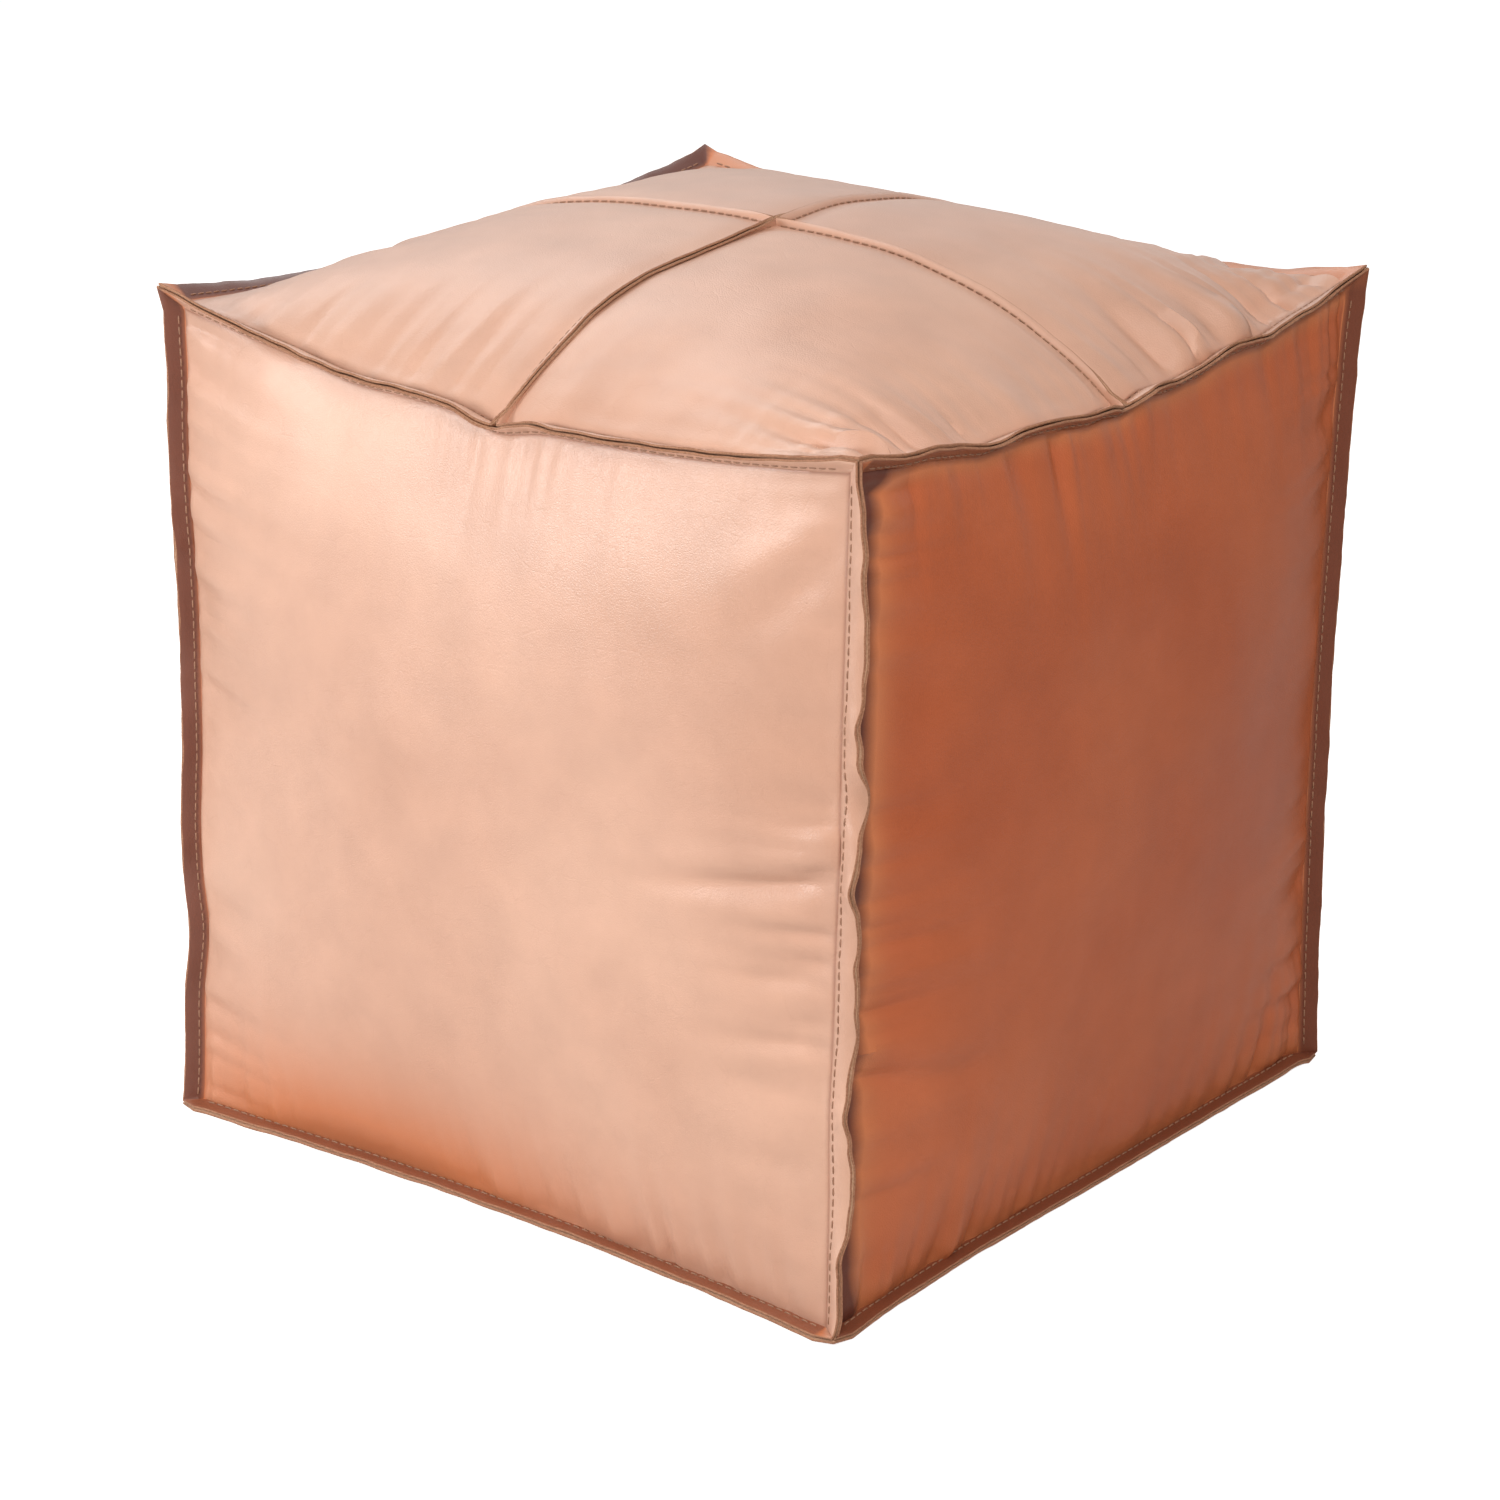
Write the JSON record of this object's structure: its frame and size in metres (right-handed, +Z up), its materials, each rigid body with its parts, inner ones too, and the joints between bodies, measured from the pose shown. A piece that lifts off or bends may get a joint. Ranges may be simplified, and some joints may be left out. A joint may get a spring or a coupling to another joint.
{
  "type": "leather pouf",
  "caption": "Stuffed square leather floor pouf with raised outward seams, pointed ears at the corners, a crowned top of four sewn quarters and a zip in the base.",
  "frame": {"origin": "centre of the base, on the floor", "axes": "+Z up, the front side panel faces -Y, the zip in the base runs along X"},
  "size_m": [0.4542, 0.4542, 0.472],
  "materials": {
    "tan_leather": "satin",
    "sewing_thread": "matte",
    "zip_tape": "matte",
    "zip_brass": "satin",
    "calico": "matte",
    "fibre": "matte"
  },
  "bodies": {
    "cover": {"top_quarter_front_left": "tan_leather", "top_quarter_front_right": "tan_leather", "top_quarter_back_right": "tan_leather", "top_quarter_back_left": "tan_leather", "side_panel_front": "tan_leather", "side_panel_right": "tan_leather", "side_panel_back": "tan_leather", "side_panel_left": "tan_leather", "base_half_front": "tan_leather", "base_half_back": "tan_leather", "thread_top_cross": "sewing_thread", "thread_top_edges": "sewing_thread", "thread_corners": "sewing_thread", "thread_base_edges": "sewing_thread", "thread_zip": "sewing_thread", "zip_tape_front": "zip_tape", "zip_tape_back": "zip_tape", "zip_teeth_front": "zip_brass", "zip_teeth_back": "zip_brass", "zip_top_stops": "zip_brass", "zip_bottom_stop": "zip_brass", "bag_top": "calico", "bag_base": "calico", "bag_side_front": "calico", "bag_side_right": "calico", "bag_side_back": "calico", "bag_side_left": "calico", "filling": "fibre"},
    "slider": {"zip_slider": "zip_brass"},
    "pull_tab": {"zip_pull_tab": "zip_brass"}
  },
  "joints": [
    {"name": "zip_slide", "type": "slide", "parent": "cover", "child": "slider", "axis": [-1, 0, 0], "range_m": [0, 0.3014]},
    {"name": "pull_tab_swing", "type": "hinge", "parent": "slider", "child": "pull_tab", "pos_m": [0.1507, 0, 0.00175], "axis": [0, -1, 0], "range_deg": [0, 165]}
  ]
}
